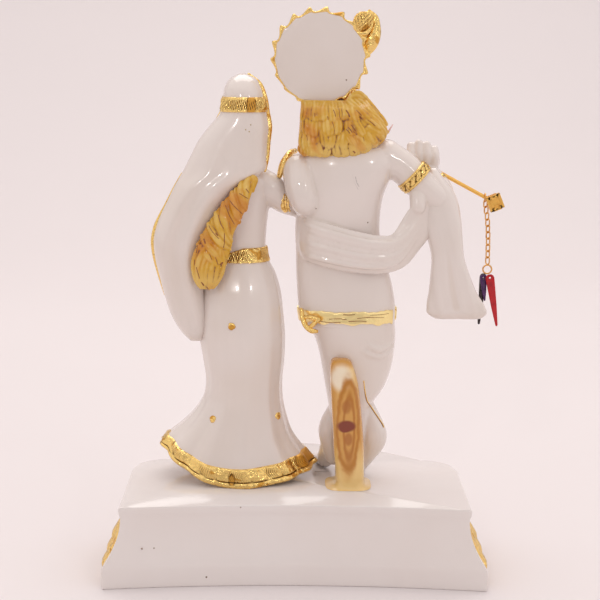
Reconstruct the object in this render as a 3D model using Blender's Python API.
"""A pair of glazed porcelain figures on a bow-fronted plinth, with a brass flute, its chain and drops."""

import math

import bmesh
import bpy
import numpy as np

for old in list(bpy.data.objects):
    bpy.data.objects.remove(old)

# Driving sizes, in millimetres. X runs across the pair, +Y is where they face, Z is up.
TOTAL_HEIGHT = 240.0
PLINTH_HEIGHT = 34.9
PLINTH_TOP_WIDTH = 145.8
PLINTH_BASE_WIDTH = 161.2
PLINTH_BACK = -46.0
PLINTH_BOW = 50.0
PLINTH_END_FRONT = 9.0
BACK_HOLLOW = 5.0
LEAF_WIDTH = 3.8
LEAF_THICK = 0.7
LEAF_BED = 0.5
GAP = 0.3
DISC_CENTRE = (8.0, 219.1)
DISC_RADIUS = 18.8
DISC_TEETH = 18
TOOTH_REACH = TOTAL_HEIGHT - DISC_CENTRE[1]
DISC_THICKNESS = 3.2
DISC_BACK = 1.5
FLUTE_START = (13.5, 21.5, 195.2)
FLUTE_END = (84.6, 18.5, 157.5)
FLUTE_RADIUS = 0.85
END_SIDE = 6.6
END_DEPTH = 3.4
LINKS = 10
CHAIN_DEPTH = 18.5
LOOP_CENTRE = (81.6, 18.5, 158.9)
LINK_WIRE = 0.32
RING_RADIUS = 1.95
RING_WIRE = 0.36
RING_CENTRE = (84.4, 18.5, 125.6)

# The voxel side that fuses the casting, and the share of its triangles that is kept.
VOXEL = 0.75
FIGURE_SHARE = 0.021
CHAIN_VOXEL = 0.13
CHAIN_SHARE = 0.035

SKIRT_AXIS = (-24.0, 3.0)
SKIRT_FOLDS = 13
HEM = 39.0
HEM_LIFT_BACK = 35.4
HEM_LIFT_RIGHT = 40.6
HEM_LIFT_FRONT = 37.0
HEM_LIFT_LEFT = 50.0

# Profiles: height, then the left and right edges and the back and front reach at that height.
SKIRT = (
    (39, -59, 8.4, -19.6, 26.4),
    (46, -56, 3.6, -18.6, 24),
    (54, -50, -1.6, -16.6, 21),
    (62, -44.8, -4.2, -14.8, 18.4),
    (70, -41, -5.8, -13.6, 16.6),
    (78, -39.6, -6.1, -13.4, 16),
    (88, -40.8, -5.2, -14, 16.6),
    (98, -42.4, -4.9, -14, 17),
    (109, -42.4, -5.8, -13, 16.4),
    (119, -41.6, -7.1, -11, 15.4),
    (127, -39.5, -9.6, -8, 14),
    (133, -37.6, -12.8, -5.4, 12.6),
    (139, -36.8, -13.6, -4, 12),
)
BODICE = (
    (134, -36.8, -13.6, -4.4, 11.4),
    (141, -36.6, -13.4, -4.2, 11.6),
    (149, -38, -12.8, -5, 13.6),
    (156, -39.4, -11.8, -6, 17.4),
    (163, -40, -11.2, -6.4, 15.6),
    (168, -39, -12.2, -5.4, 11),
    (172, -34, -16, -3, 9),
    (175, -29.6, -19, -1.6, 8),
    (190, -28.8, -19.6, -1, 8.6),
)
VEIL = (
    (97, -49, -43, -5, 1),
    (100, -52.5, -39.6, -7, 3),
    (107, -57.2, -40.3, -9, 4),
    (116, -58.4, -43.4, -10.5, 4.6),
    (125, -60.4, -45.4, -11.5, 5.4),
    (134, -62.8, -46, -12.6, 6),
    (142, -63.4, -43, -13.2, 6),
    (150, -62, -38, -13.4, 5),
    (158, -58, -32.6, -13.4, 4.6),
    (165, -54, -24.6, -12.8, 4.8),
    (171, -49.8, -14.2, -11.4, 5.4),
    (177, -45.8, -13.1, -10.4, 6.4),
    (184, -42.2, -12.7, -9.2, 7.4),
    (190, -38.9, -12.4, -8.2, 9),
    (196, -34.6, -13.4, -7.2, 10.8),
    (202, -33.8, -14.6, -6.6, 12),
    (207, -32.2, -16.4, -4.6, 11.4),
    (210.6, -29, -20.2, -0.6, 8.4),
    (212.2, -25.6, -23.4, 3, 5.4),
)
TRUNK = (
    (104, 2.2, 43.2, -10.4, 15.4),
    (112, 0.8, 43.4, -9.4, 14.8),
    (120, 0.2, 42.2, -8.6, 13.8),
    (128, -0.2, 40, -7.8, 13),
    (136, -0.4, 37.6, -7.4, 13),
    (145, -0.8, 36, -7.6, 13.6),
    (153, -0.4, 36.2, -8.4, 15),
    (161, 0.4, 37.6, -9.2, 15.8),
    (169, 0.4, 40.6, -9.2, 14.8),
    (176, 0.6, 42.6, -8, 12.6),
    (181, 3, 39, -5.6, 11),
    (184.5, 8, 30, -2, 9.6),
    (192, 12.4, 24.6, -0.4, 9.6),
)
DHOTI = (
    (56, 16.6, 30.6, -5, 12),
    (62, 15.2, 31.6, -6.4, 14),
    (68, 14.4, 34.4, -7.6, 15),
    (75, 13.2, 39, -8.6, 15.4),
    (84, 11.6, 42.2, -9.4, 15.8),
    (92, 10, 43.4, -10, 16.2),
    (99, 7.6, 43.8, -10.4, 16.2),
    (105, 3.4, 43.4, -10.4, 15.8),
    (110, 1.2, 43.2, -9.8, 15),
)
SASH_END = (
    (106.6, 60.4, 81.2, -0.6, 2.6),
    (108.4, 57.6, 83.1, -1.8, 3.6),
    (112, 56.4, 82.6, -2.2, 4.2),
    (118, 56.9, 79, -2.6, 5),
    (126, 57.5, 75.6, -3, 6),
    (134, 57.8, 73, -3.2, 7),
    (142, 56.6, 72.2, -3, 9),
    (150, 53.4, 71.6, -2.4, 12),
    (157, 51.4, 70.3, -1.4, 14),
    (163, 52.6, 67.6, -0.2, 15.4),
    (168, 56, 63.6, 2, 15),
    (172, 57.8, 60.6, 5.6, 11),
)
STUMP = (
    (34, 12.4, 32.6, -24.6, -1),
    (36.4, 14.2, 31.4, -22.8, -1.6),
    (40, 15.8, 30.2, -21.2, -2),
    (50, 15.6, 29.2, -19.8, -2),
    (62, 15.2, 28.2, -18.6, -2),
    (75, 14.4, 27.2, -17.4, -2),
    (84, 13.4, 25.6, -16.2, -2),
    (92, 12.6, 23.2, -14.8, -4),
)
# Paths: x, y, z and the radius there.
PLAIT = (
    (-18.4, -8.2, 168.6, 2.2),
    (-22.4, -10, 163.4, 4.4),
    (-29.6, -11.4, 154, 6.3),
    (-34.6, -12.2, 144, 7.7),
    (-37.4, -12.6, 134, 8.3),
    (-38.4, -12.4, 127, 6.8),
    (-37.4, -12, 122.4, 2.6),
)
HER_RIGHT_ARM = ((-16, 4, 166, 6.2), (-11.4, 4, 162.4, 6.8), (-5.6, 5.4, 157.4, 5.5), (-1, 8.6, 154.4, 4.4))
HER_RIGHT_HAND = ((-2, 8.6, 155, 4.2), (2.4, 10.4, 152.6, 4), (6.6, 9.8, 151, 2.6))
HER_LEFT_ARM = (
    (-37, 3, 165, 6.6),
    (-47, 3, 153, 6.4),
    (-51.6, 4, 142, 6),
    (-45, 13, 133.4, 4.8),
    (-36.6, 17.6, 131.6, 4),
)
HIS_LEFT_ARM = (
    (1.4, 1, 170.8, 7.6),
    (0.8, -3.2, 163, 7.4),
    (2.2, -3, 157.2, 6.9),
    (7, 9, 157.4, 5.4),
    (18, 20.6, 172, 4.3),
    (27.6, 22.6, 183.6, 3.8),
)
HIS_RIGHT_ARM = (
    (38, 4, 176.6, 8.2),
    (45.6, 3.4, 172.4, 7.2),
    (53, 3, 165.4, 6.9),
    (61.4, 5, 158.4, 6.4),
    (62.6, 11, 162.4, 5.4),
    (58, 15.4, 169.6, 4.2),
)
SASH = (
    (7, 14.4, 143, 8.6),
    (1.8, 4, 142.4, 9.2),
    (6.4, -6.8, 141.6, 9.4),
    (20, -9.6, 138.4, 9.2),
    (34, -9, 136.2, 8.6),
    (43, -6.6, 137.4, 8),
    (49, -3.4, 143.6, 7.9),
    (54.6, -0.4, 152.4, 8.2),
    (58.6, 4, 162, 8),
)
CHAIN = ((128.2, 84.3), (140, 84), (149, 83.6), (151.5, 83.1), (153.7, 82.4), (156.6, 81.7))
FEATHER = (
    (28.6, 6, 237.2, 1.8),
    (31.6, 6, 234.6, 2.6),
    (31.9, 5.8, 229.4, 3.4),
    (30, 5.2, 224.4, 3.2),
    (27.4, 4.6, 221, 2),
)


def along(table, at):
    """The rest of a row of the table at each value of its first column, eased between rows."""
    keys = np.array([row[0] for row in table], float)
    values = np.array([row[1:] for row in table], float)
    slopes = np.gradient(values, keys, axis=0)
    at = np.clip(np.atleast_1d(at), keys[0], keys[-1])
    first = np.clip(np.searchsorted(keys, at, side="right") - 1, 0, len(keys) - 2)
    span = (keys[first + 1] - keys[first])[:, None]
    t = ((at - keys[first]) / span[:, 0])[:, None]
    rise = t * t * (3 - 2 * t)
    start = (t - 2 * t * t + t * t * t) * span * slopes[first]
    end = (t * t * t - t * t) * span * slopes[first + 1]
    return values[first] * (1 - rise) + values[first + 1] * rise + start + end


def skin(rings):
    """Points and faces of a closed skin over rings of the same count."""
    rings = np.asarray(rings, float)
    levels, count = rings.shape[:2]
    faces = []
    for i in range(levels - 1):
        for j in range(count):
            k = (j + 1) % count
            faces.append((i * count + j, i * count + k, (i + 1) * count + k, (i + 1) * count + j))
    faces.append(tuple(range(count))[::-1])
    faces.append(tuple(range((levels - 1) * count, levels * count)))
    return rings.reshape(-1, 3), faces


def ovals(table, step=2.0, count=40, power=2.0, fold=None):
    """A skin over level ovals that follow a profile table."""
    count_up = max(3, round((table[-1][0] - table[0][0]) / step) + 1)
    levels = np.linspace(table[0][0], table[-1][0], count_up)
    rings = []
    for z, (left, right, back, front) in zip(levels, along(table, levels)):
        turn = np.arange(count) * 2 * math.pi / count
        c = np.sign(np.cos(turn)) * np.abs(np.cos(turn)) ** (2 / power)
        s = np.sign(np.sin(turn)) * np.abs(np.sin(turn)) ** (2 / power)
        x = c * (right - left) / 2
        y = s * (front - back) / 2
        up = np.full(count, z)
        if fold:
            x, y, up = fold(turn, z, x, y, up)
        rings.append(np.stack([x + (left + right) / 2, y + (back + front) / 2, up], axis=1))
    return skin(rings)


def frames(path):
    """Tangent, side and out directions along a path of points, turning as little as they can."""
    tangents = np.gradient(path, axis=0)
    tangents /= np.linalg.norm(tangents, axis=1)[:, None]
    side = np.cross(tangents[0], (0.0, 1.0, 0.02))
    sides = []
    for tangent in tangents:
        side = side - tangent * side.dot(tangent)
        side = side / np.linalg.norm(side)
        sides.append(side)
    return tangents, np.array(sides), np.cross(tangents, np.array(sides))


def tube(rows, steps=18, count=14, flat=1.0, up=None):
    """A round-ended rod along eased rows of x, y, z and radius; flat thins it and up sets its broad way."""
    places = np.linspace(0, len(rows) - 1, steps)
    line = along([(i, *row) for i, row in enumerate(rows)], places)
    path, radius = line[:, :3], line[:, 3]
    tangents, sides, outs = frames(path)
    if up is not None:
        sides = np.array(up, float) - tangents * (tangents @ np.array(up, float))[:, None]
        sides /= np.linalg.norm(sides, axis=1)[:, None]
        outs = np.cross(tangents, sides)
    turn = np.arange(count) * 2 * math.pi / count
    rings = []
    for end, shares in ((0, ((-0.9, 0.35), (-0.6, 0.78))), (None, ()), (-1, ((0.6, 0.78), (0.9, 0.35)))):
        if end is None:
            for i in range(steps):
                rings.append((path[i], sides[i], outs[i], radius[i]))
            continue
        for shift, share in shares:
            centre = path[end] + tangents[end] * shift * radius[end] * min(1.0, flat * 1.5)
            rings.append((centre, sides[end], outs[end], radius[end] * share))
    return skin([
        c + r * (np.cos(turn)[:, None] * s + flat * np.sin(turn)[:, None] * o) for c, s, o, r in rings
    ])


def ball(centre, radii, tilt=0.0, levels=12, count=18):
    """An ellipsoid, leaned by tilt radians about Y."""
    turn = np.arange(count) * 2 * math.pi / count
    rings = []
    for i in range(levels + 1):
        rise = math.pi * ((i + 0.12) / (levels + 0.24) - 0.5)
        x = np.cos(turn) * math.cos(rise) * radii[0]
        y = np.sin(turn) * math.cos(rise) * radii[1]
        z = np.full(count, math.sin(rise) * radii[2])
        c, s = math.cos(tilt), math.sin(tilt)
        rings.append(np.stack([centre[0] + c * x + s * z, centre[1] + y, centre[2] - s * x + c * z], axis=1))
    return skin(rings)


def material(name, colour, rough=0.2, metal=0.0, coat=0.0):
    made = bpy.data.materials.new(name)
    made.use_nodes = True
    shader = made.node_tree.nodes["Principled BSDF"]
    shader.inputs["Base Color"].default_value = (*colour, 1)
    shader.inputs["Roughness"].default_value = rough
    shader.inputs["Metallic"].default_value = metal
    shader.inputs["Coat Weight"].default_value = coat
    return made


def solid(name, shapes, made=None):
    """One object from several closed shapes, scaled to metres, faces out."""
    mesh = bmesh.new()
    for points, faces in shapes:
        corners = [mesh.verts.new([float(v) * 0.001 for v in point]) for point in points]
        for face in faces:
            mesh.faces.new([corners[i] for i in face])
    bmesh.ops.recalc_face_normals(mesh, faces=mesh.faces)
    data = bpy.data.meshes.new(name)
    mesh.to_mesh(data)
    mesh.free()
    made_object = bpy.data.objects.new(name, data)
    bpy.context.scene.collection.objects.link(made_object)
    if made:
        data.materials.append(made)
    return made_object


def helper(name, shapes):
    made_object = solid(name, shapes)
    made_object.hide_render = True
    made_object.display_type = "WIRE"
    return made_object


def combine(target, operand, operation):
    step = target.modifiers.new(operand.name, "BOOLEAN")
    step.solver = "EXACT"
    step.operation = operation
    step.object = operand
    return step


def skirt_fold(turn, z, x, y, up):
    """Soft pleats that open towards the hem, and the hem's own rise and fall."""
    open_share = np.clip((86 - z) / 47, 0, 1)
    ripple = 0.012 + 0.034 * open_share**1.4
    wave = np.cos(SKIRT_FOLDS * turn + 1.2 * np.sin(2 * turn)) * ripple
    lift_side = np.where(np.cos(turn) > 0, HEM_LIFT_RIGHT, HEM_LIFT_LEFT) - HEM
    lift_end = np.where(np.sin(turn) > 0, HEM_LIFT_FRONT, HEM_LIFT_BACK) - HEM
    lift = lift_side * np.cos(turn) ** 2 + lift_end * np.sin(turn) ** 2
    share = np.clip((76 - z) / 37, 0, 1) ** 1.5
    return x * (1 + wave), y * (1 + wave), up + lift * share


def skirt_parts():
    points, faces = ovals(SKIRT, step=1.6, count=72, fold=skirt_fold)
    count = 72
    levels = len(points) // count
    rings = points.reshape(levels, count, 3)
    hem = rings[0]
    middle = np.array([*SKIRT_AXIS, 0])
    under = []
    for share, rise in ((0.62, -9.0), (0.66, 2.0), (0.9, 2.4), (0.97, 0.6)):
        ring = middle + (hem - middle) * [share, share, 1]
        ring[:, 2] = hem[:, 2] + rise if rise > 0 else PLINTH_HEIGHT + rise
        under.append(ring)
    return skin(np.concatenate([under, rings]))


def veil_fold(turn, z, x, y, up):
    """Long soft folds on the back of the hanging veil."""
    share = np.clip((176 - z) / 30, 0, 1)
    wave = np.cos(x * 0.62 + 0.5) * np.where(np.sin(turn) < 0, 0.55, 0.3) * share
    return x, y + wave * np.sign(np.sin(turn)) * -1, up


def band(table, low, high, proud, count=40, fold=None):
    """A strip that stands proud of the profile between two heights."""
    levels = np.linspace(low, high, 5)
    shares = (0.2, 1.0, 1.0, 1.0, 0.2)
    rows = along(table, levels)
    made = [(z, row[0] - proud * s, row[1] + proud * s, row[2] - proud * s, row[3] + proud * s)
            for z, row, s in zip(levels, rows, shares)]
    return ovals(made, step=(high - low) / 4, count=count, fold=fold)


def head(centre, radii, tilt, nose):
    """A skull with brow, nose, lips and chin towards +Y."""
    x, y, z = centre
    a, b, c = radii
    lean = math.sin(tilt)
    return [
        ball(centre, radii, tilt),
        ball((x - lean * c * 0.42, y + b * 0.12, z - c * 0.42), (a * 0.8, b * 0.78, c * 0.62), tilt),
        ball((x - lean * c * 0.14, y + b * 1.02, z - c * 0.14), (nose * 0.55, nose * 0.95, nose * 1.3), tilt),
        ball((x - lean * c * 0.46, y + b * 0.9, z - c * 0.5), (nose * 0.95, nose * 0.62, nose * 0.5), tilt),
        ball((x - lean * c * 0.8, y + b * 0.72, z - c * 0.84), (nose * 0.9, nose * 0.8, nose * 0.7), tilt),
    ]


def hair_locks():
    """Three tiers of locks round the back of his head, the last one ending in a scalloped edge."""
    shapes = [
        ball((17, 1.4, 191.4), (16.4, 10.4, 12.6), 0.1),
        ball((14, 2.4, 199), (13.4, 8.4, 6)),
        ball((32.6, 1, 190), (5, 7, 8)),
        ball((25.4, 1.6, 200.4), (4.4, 5.6, 5.4)),
    ]
    tiers = ((202.6, 7.6, 7, 15, 14.2, 9.8), (195, 7.6, 8, 17.4, 17.2, 11.4), (187, 7.8, 9, 19.2, 18.4, 10.8))
    for tier, (top, reach, many, middle, wide, deep) in enumerate(tiers):
        for i in range(many):
            turn = math.pi * (1.02 + 0.96 * (i + 0.5) / many)
            x = middle + wide * math.cos(turn)
            y = 2.2 + deep * math.sin(turn)
            swing = 1.3 * math.sin(1.7 * i + 0.9 * tier)
            drop = reach * (1.0 + 0.1 * math.sin(2.6 * i + tier))
            shapes.append(tube((
                (x - 0.05 * (x - middle), y + 1.2, top + 1.0, 2.0),
                (x + swing * 0.4, y - 0.6, top - drop * 0.5, 2.7),
                (x + swing, y + 0.6, top - drop, 1.9),
            ), steps=6, count=8))
    return shapes


def radha():
    shapes = [skirt_parts(), ovals(BODICE, count=36)]
    shapes.append(ovals(VEIL, step=1.8, count=44, power=2.15, fold=veil_fold))
    shapes += head((-24.4, 7.6, 199.6), (8.4, 9.2, 10.8), 0.04, 2.2)
    shapes.append(tube(PLAIT, steps=22, flat=0.6, up=(1, 0, 0.35)))
    for i in range(9):
        share = (i + 0.6) / 9.6
        x, y, z, r = along([(k, *row) for k, row in enumerate(PLAIT)], share * (len(PLAIT) - 1))[0]
        shapes.append(tube((
            (x + r * 0.9, y - 1.0, z + r * 0.5, r * 0.2),
            (x, y - 2.2 - r * 0.32, z - 0.5, r * 0.34),
            (x - r * 0.75, y - 1.0, z - r * 0.75, r * 0.2),
        ), steps=7, count=8))
    for rows in (HER_RIGHT_ARM, HER_RIGHT_HAND, HER_LEFT_ARM):
        shapes.append(tube(rows))
    for i in range(4):
        shapes.append(tube((
            (3.4, 11.6, 154.6 - 1.9 * i, 1.3), (7.2, 10.4, 153.6 - 1.9 * i, 1.2),
            (9.6, 7, 152.6 - 1.9 * i, 1.0),
        ), steps=6, count=8))
        shapes.append(tube((
            (-37, 19, 134.4 - 1.8 * i, 1.3), (-33, 20.6, 133.4 - 1.8 * i, 1.2),
            (-30.4, 18.6, 132 - 1.8 * i, 1),
        ), steps=6, count=8))
    shapes.append(tube(((-6.6, 4.6, 158.8, 6.7), (-3.6, 6, 156, 6.1)), steps=4))
    shapes.append(band(SKIRT, 132.6, 138.6, 0.9, fold=None))
    shapes.append(band(VEIL, 196.4, 202.2, 0.8, count=44))
    for side in (-1, 1):
        shapes.append(tube((
            (-24 + 5.4 * side, 12, 38, 4), (-24 + 6 * side, 22, 37.4, 3.6),
            (-24 + 6.2 * side, 29, 36.6, 2.2),
        ), steps=8, flat=0.7, up=(1, 0, 0)))
    return shapes


def krishna():
    shapes = [ovals(TRUNK, power=2.2), ovals(DHOTI, power=2.1)]
    shapes += head((15.6, 9.6, 193), (9.2, 10, 12), -0.24, 2.4)
    shapes += hair_locks()
    shapes.append(ball((14.2, 9.4, 203), (9.8, 10, 6.4), -0.24))
    shapes.append(ball((12, 9.2, 210), (6.4, 5.6, 8.6), -0.24))
    shapes.append(tube(HIS_LEFT_ARM, steps=26))
    shapes.append(tube(HIS_RIGHT_ARM, steps=26))
    shapes.append(tube(((49.4, 2.9, 169.2, 7.8), (51.6, 2.9, 167, 7.8)), steps=3))
    for i in range(4):
        x = 52.2 + 2.5 * i
        shapes.append(tube((
            (x, 16, 172.6, 1.6), (x + 0.2, 14.6, 178.4, 1.7),
            (x + 0.4, 17.4, 182.6 - 0.7 * abs(i - 1.4), 1.2),
        ), steps=7, count=8))
        x = 25.4 + 2.3 * i
        shapes.append(tube((
            (x, 21, 186 - i * 1.1, 1.5), (x + 0.6, 24.4, 188.6 - i * 1.2, 1.4),
            (x + 0.4, 26, 185.6 - i * 1.2, 1.1),
        ), steps=7, count=8))
    shapes.append(ball((56, 16.2, 172.6), (5.6, 3.2, 4.6)))
    shapes.append(ball((28.6, 22.4, 184.6), (4.6, 2.8, 4.2)))
    shapes.append(tube(SASH, steps=40, count=16, flat=0.27, up=(0, 0, 1)))
    for lift in (-5.2, -1.6, 2.2, 5.6):
        rows = []
        for i, (x, y, z, _) in enumerate(SASH[1:]):
            rows.append((x, y * 1.16 - 0.6, z + lift * (1 - 0.12 * i), 1.3))
        shapes.append(tube(rows, steps=34, count=8))
    shapes.append(ovals(SASH_END, count=36, power=2.6, fold=pleats))
    shapes.append(tube((
        (-1, 9, 178.8, 1.3), (-3.4, 3.4, 178, 1.4), (-6.2, 0.6, 173.8, 1.5), (-7.6, 2, 168.6, 1.4),
    ), steps=10, count=10))
    shapes.append(band(TRUNK, 104.8, 111, 0.8))
    shapes.append(tube((
        (1.6, -4, 107, 1.6), (2.6, -8.8, 103, 1.6), (7.6, -10.6, 101.8, 1.6), (9.4, -10, 106, 1.6),
    ), steps=10, count=8))
    shapes.append(tube(((26, 2, 68, 8), (26.6, 1, 54, 6), (27, 2, 42, 4.6), (27.4, 5, 36, 4.4)), steps=12))
    shapes.append(tube((
        (27.4, 6, 38.4, 4.2), (29, 14, 37.4, 3.8), (30, 21.4, 36.4, 2.4),
    ), steps=8, flat=0.72, up=(1, 0, 0)))
    shapes.append(tube((
        (30, 8, 80, 10), (25.6, 10.6, 68, 8.6), (18.6, 10, 56, 6.4), (15.6, 9.4, 45, 4.6),
        (13.8, 12, 39, 4),
    ), steps=14))
    shapes.append(tube((
        (13.8, 12, 39.6, 3.8), (11.6, 17.6, 37.6, 3.4), (10, 23, 36.4, 2.2),
    ), steps=8, flat=0.74, up=(1, 0, 0)))
    shapes.append(tube((
        (31.4, 1.6, 66, 4), (33.6, 1.2, 57, 6.2), (34, 1.4, 51.4, 6.7), (31.4, 2, 44.6, 5),
        (28, 3, 38.4, 3.8),
    ), steps=14, flat=0.8, up=(1, 0, 0)))
    shapes.append(tube((
        (18, 3.6, 64, 4), (15.8, 4, 57.4, 5), (15.6, 4.4, 52, 5), (17.2, 5, 42, 3.8),
    ), steps=12))
    shapes.append(tube((
        (22, 14, 104, 5), (22, 16.6, 88, 5.4), (21, 17.4, 70, 4.8), (20, 16.4, 56, 3),
    ), steps=14, flat=0.5, up=(1, 0, 0)))
    return shapes


def pleats(turn, z, x, y, up):
    """Hanging pleats across the sash's end."""
    share = np.clip((160 - z) / 30, 0, 1)
    return x, y + np.cos(x * 0.78) * 0.6 * share, up


def disc():
    """The round plate behind his crown, with hooked teeth round its edge."""
    outline = []
    for i in range(DISC_TEETH):
        start = math.radians(80) - i * 2 * math.pi / DISC_TEETH
        for share, reach in ((0.0, 1.12), (0.2, 0.7), (0.34, 0.12), (0.6, 0.0), (0.82, 0.35)):
            turn = start - share * 2 * math.pi / DISC_TEETH
            radius = DISC_RADIUS + reach * (TOOTH_REACH - DISC_RADIUS)
            outline.append((math.cos(turn) * radius, math.sin(turn) * radius))
    outline = np.array(outline)
    rings = []
    for y, share in ((0.0, 0.985), (0.5, 1.0), (DISC_THICKNESS - 0.6, 1.0), (DISC_THICKNESS, 0.975)):
        rings.append(np.stack([
            DISC_CENTRE[0] + outline[:, 0] * share,
            np.full(len(outline), DISC_BACK + y),
            DISC_CENTRE[1] + outline[:, 1] * share,
        ], axis=1))
    return skin(rings)


def plinth_outline(half, back, bow, end_front, hollow, count=17):
    """The plinth's plan: hollow back, short ends, bowed front."""
    across = np.linspace(-1, 1, count)
    points = [(half * u, back + hollow * (1 - u * u)) for u in across[::2]]
    points += [(half, back + (end_front - back) * t) for t in (0.5, 0.94)]
    shoulder = end_front + 0.34 * (bow - end_front)
    for u in across[::-1]:
        a = abs(u)
        if a < 0.8:
            y = bow - (bow - shoulder) * (a / 0.8) ** 2
        else:
            y = end_front + (shoulder - end_front) * math.sqrt(max(0.0, 1 - ((a - 0.8) / 0.2) ** 2))
        points.append((half * u * (0.995 if a == 1 else 1), y))
    points += [(-half, back + (end_front - back) * t) for t in (0.94, 0.5)]
    return np.array(points)


def plinth_flare(z):
    """How far the moulded ends stand out below the lip, as a share of the whole flare."""
    t = np.clip((PLINTH_HEIGHT * 0.84 - z) / (PLINTH_HEIGHT * 0.58), 0, 1)
    return t**1.8


def plinth():
    flare = (PLINTH_BASE_WIDTH - PLINTH_TOP_WIDTH) / 2
    rings = []
    for share in (0.0, 0.03, 0.24, 0.36, 0.52, 0.7, 0.85, 0.89, 0.97, 1.0):
        z = share * PLINTH_HEIGHT
        out = flare * plinth_flare(z)
        lip = 0.7 if 0.86 < share < 0.99 else (-0.7 if share == 1.0 else 0.0)
        if share == 0.0:
            out -= 0.6
        outline = plinth_outline(
            PLINTH_TOP_WIDTH / 2 + out + lip,
            PLINTH_BACK - 0.38 * out - lip,
            PLINTH_BOW + 0.9 * out + lip,
            PLINTH_END_FRONT + 0.9 * out + lip,
            BACK_HOLLOW,
        )
        rings.append(np.column_stack([outline, np.full(len(outline), z)]))
    return skin(rings)


def plinth_leaves():
    """Scrolling leaves raised on the two ends and along the bowed front."""
    shapes = []
    flare = (PLINTH_BASE_WIDTH - PLINTH_TOP_WIDTH) / 2

    def face_point(z, y, side):
        return (side * (PLINTH_TOP_WIDTH / 2 + flare * plinth_flare(z)), y, z)

    def leaf(points, width, across):
        path = np.array(points, float)
        across = np.array(across, float)
        tangents = np.gradient(path, axis=0)
        outs = np.cross(tangents, across)
        outs /= np.linalg.norm(outs, axis=1)[:, None]
        rings = []
        for place, out, share in zip(path, outs, (0.45, 1.0, 0.3)):
            half = width * share
            thick = half * LEAF_THICK
            bed = place - out * LEAF_BED * np.sign(out @ (place * [1, 1, 0]))
            rings.append([bed + across * half, bed + out * thick, bed - across * half, bed - out * thick])
        shapes.append(skin(rings))

    for side in (-1, 1):
        for i in range(3):
            base = PLINTH_BACK + 8.6 + i * 15
            for bend, reach in ((-6.6, 22.5), (0.0, 26.5), (6.6, 21.5)):
                line = []
                for t in (0, 0.5, 1):
                    line.append(face_point(5.5 + (reach - 5.5) * t, base + bend * (0.6 + 0.4 * t), side))
                leaf(line, LEAF_WIDTH / 2, (0, 1, 0))
    for i in range(5):
        across = (i - 2) / 2 * 44
        for bend, reach in ((-7.4, 21), (0.0, 26), (7.4, 21)):
            line = []
            for t in (0, 0.5, 1):
                z = 5.5 + (reach - 5.5) * t
                x = across + bend * (0.6 + 0.4 * t)
                out = flare * plinth_flare(z)
                half = PLINTH_TOP_WIDTH / 2 + out
                bow = PLINTH_BOW + 0.9 * out
                end = PLINTH_END_FRONT + 0.9 * out
                line.append((x, bow - 0.66 * (bow - end) * (abs(x) / half / 0.8) ** 2, z))
                slope = -1.32 * (bow - end) * x / (half * 0.8) ** 2
            leaf(line, LEAF_WIDTH / 2, (1 / math.hypot(1, slope), slope / math.hypot(1, slope), 0))
    return shapes


def square_frame():
    """The flute's square end: a block with a stepped recess in its outer and back faces."""
    turn = math.radians(19)
    side_way = np.array([math.cos(turn), 0, math.sin(turn)])
    up_way = np.array([-math.sin(turn), 0, math.cos(turn)])
    centre = np.array([87.0, 18.5, 156.0])
    corners = ((-1, -1), (1, -1), (1, 1), (-1, 1))
    rings = []
    steps = ((0.24, -0.7), (0.27, -1.3), (0.33, -1.3), (0.36, -1.7), (0.5, -1.7))
    for half, y in steps + tuple((half, -y) for half, y in steps[::-1]):
        size = half * END_SIDE
        rings.append([
            centre + side_way * size * a + up_way * size * b + np.array([0, y / 1.7 * END_DEPTH / 2, 0])
            for a, b in corners
        ])
    return skin(rings)


def link(centre, turned, long=1.6, wide=1.05):
    """One oval link of round wire, lying across or along the view."""
    rings = []
    for i in range(7):
        a = i * 2 * math.pi / 7
        flat = np.array([math.cos(a) * wide, 0, math.sin(a) * long])
        out = np.array([math.cos(a), 0, math.sin(a)])
        ring = []
        for j in range(4):
            b = j * 2 * math.pi / 4
            p = flat + LINK_WIRE * (out * math.cos(b) + np.array([0, 1, 0]) * math.sin(b))
            c, s = math.cos(turned), math.sin(turned)
            p = np.array([p[0] * c - p[1] * s, p[0] * s + p[1] * c, p[2]])
            ring.append(p + centre)
        rings.append(ring)
    points, _ = skin(rings)
    count = 4
    faces = []
    for i in range(7):
        for j in range(count):
            k = (j + 1) % count
            m = (i + 1) % 7
            faces.append((i * count + j, i * count + k, m * count + k, m * count + j))
    return points, faces


def ring_of(centre, radius, wire, around=16, count=5):
    points = []
    faces = []
    for i in range(around):
        a = i * 2 * math.pi / around
        out = np.array([math.cos(a), 0, math.sin(a)])
        for j in range(count):
            b = j * 2 * math.pi / count
            across = np.array([0, wire * math.sin(b), 0])
            points.append(np.array(centre) + out * (radius + wire * math.cos(b)) + across)
            k = (j + 1) % count
            m = (i + 1) % around
            faces.append((i * count + j, i * count + k, m * count + k, m * count + j))
    return points, faces


def drop(top, tip, wide, narrow, thick):
    """A flat tapered drop from its top point to its tip."""
    top, tip = np.array(top, float), np.array(tip, float)
    way = tip - top
    side = np.cross(way, (0, 1, 0))
    side /= np.linalg.norm(side)
    rings = []
    taper = narrow / wide
    for share, size in ((0.0, 0.45), (0.03, 0.85), (0.08, 1.0), (0.97, taper), (1.0, 0.6 * taper)):
        ring = []
        for a in range(10):
            t = a * 2 * math.pi / 10
            ring.append(top + way * share + side * math.cos(t) * wide / 2 * size
                        + np.array([0, 1, 0]) * math.sin(t) * thick / 2 * min(1.0, size * 1.2))
        rings.append(ring)
    return skin(rings)


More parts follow.
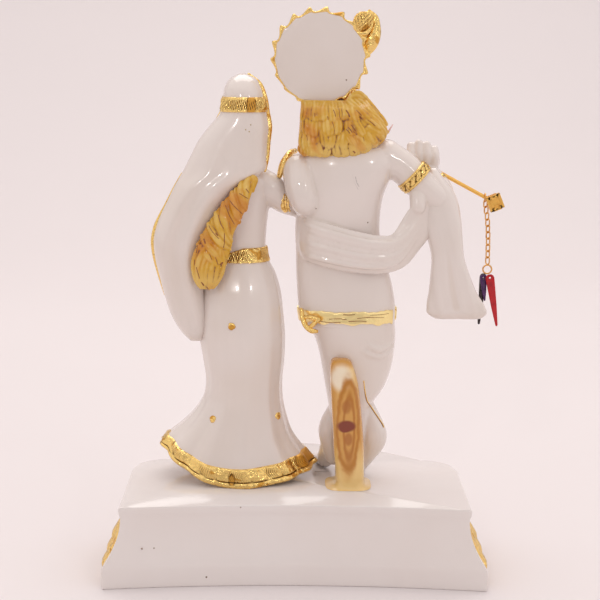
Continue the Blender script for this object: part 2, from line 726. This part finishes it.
glaze = material("white_glaze", (0.86, 0.83, 0.8), 0.16, coat=0.5)
brass = material("gold_brass", (0.8, 0.52, 0.2), 0.25, metal=1.0)
red = material("red_plastic", (0.62, 0.02, 0.03), 0.2)
purple = material("purple_plastic", (0.09, 0.02, 0.13), 0.2)
dark = material("dark_plastic", (0.03, 0.015, 0.015), 0.2)

base = solid("plinth", [plinth()], material("plinth_glaze", (0.85, 0.82, 0.79), 0.18, coat=0.5))
leaf_forms = helper("leaf_forms", plinth_leaves())
below = helper("below_plane", [skin([
    [(x, y, z) for x, y in ((-90, -70), (100, -70), (100, 80), (-90, 80))] for z in (0.0, PLINTH_HEIGHT + GAP)
])])

figures = solid("figures", radha() + krishna() + [
    ovals(STUMP, step=4, count=18, power=3.6),
    disc(),
    tube(FEATHER, steps=12, count=10, flat=0.6, up=(1, 0, 0)),
    ball((26.4, 5.2, 233), (5.2, 2.8, 5.4), 0.3),
], glaze)
fuse = figures.modifiers.new("fuse", "REMESH")
fuse.mode = "VOXEL"
fuse.voxel_size = VOXEL * 0.001
soften = figures.modifiers.new("soften", "SMOOTH")
soften.factor = 0.5
soften.iterations = 2
thin = figures.modifiers.new("thin", "DECIMATE")
thin.ratio = FIGURE_SHARE
combine(figures, below, "DIFFERENCE")
combine(base, leaf_forms, "UNION").use_self = True

start, end = np.array(FLUTE_START), np.array(FLUTE_END)


def rod(radius, count):
    return tube(((*start, radius), (*((start + end) / 2), radius), (*end, radius)), steps=4, count=count)


combine(figures, helper("flute_bore", [rod(FLUTE_RADIUS + GAP, 10)]), "DIFFERENCE")
combine(solid("flute", [rod(FLUTE_RADIUS, 8)], brass), helper("square_end", [square_frame()]), "UNION")
links = [link(LOOP_CENTRE, math.pi / 2, 2.5, 1.5)]
for i in range(LINKS):
    height = CHAIN[-1][0] - (CHAIN[-1][0] - CHAIN[0][0]) * (i + 0.5) / LINKS
    centre = (float(along(CHAIN, height)[0][0]), CHAIN_DEPTH, height)
    links.append(link(centre, (0.35, 1.75)[i % 2]))
chain = solid("chain", links, material("chain_brass", (0.75, 0.5, 0.25), 0.3, metal=1.0))
fuse = chain.modifiers.new("fuse", "REMESH")
fuse.mode = "VOXEL"
fuse.voxel_size = CHAIN_VOXEL * 0.001
thin = chain.modifiers.new("thin", "DECIMATE")
thin.ratio = CHAIN_SHARE
ring_brass = material("ring_brass", (0.78, 0.55, 0.3), 0.25, metal=1.0)
solid("ring", [ring_of(RING_CENTRE, RING_RADIUS, RING_WIRE)], ring_brass)
solid("drop_red", [drop((85.0, 16.6, 123.4), (90.4, 16.6, 100.0), 3.3, 1.3, 1.1)], red)
solid("drop_purple", [drop((83.0, 18.4, 123.2), (84.0, 18.4, 111.6), 3.2, 0.9, 1.0)], purple)
solid("drop_dark", [drop((83.2, 20.4, 123.4), (81.4, 20.4, 100.0), 3.2, 1.3, 1.1)], dark)
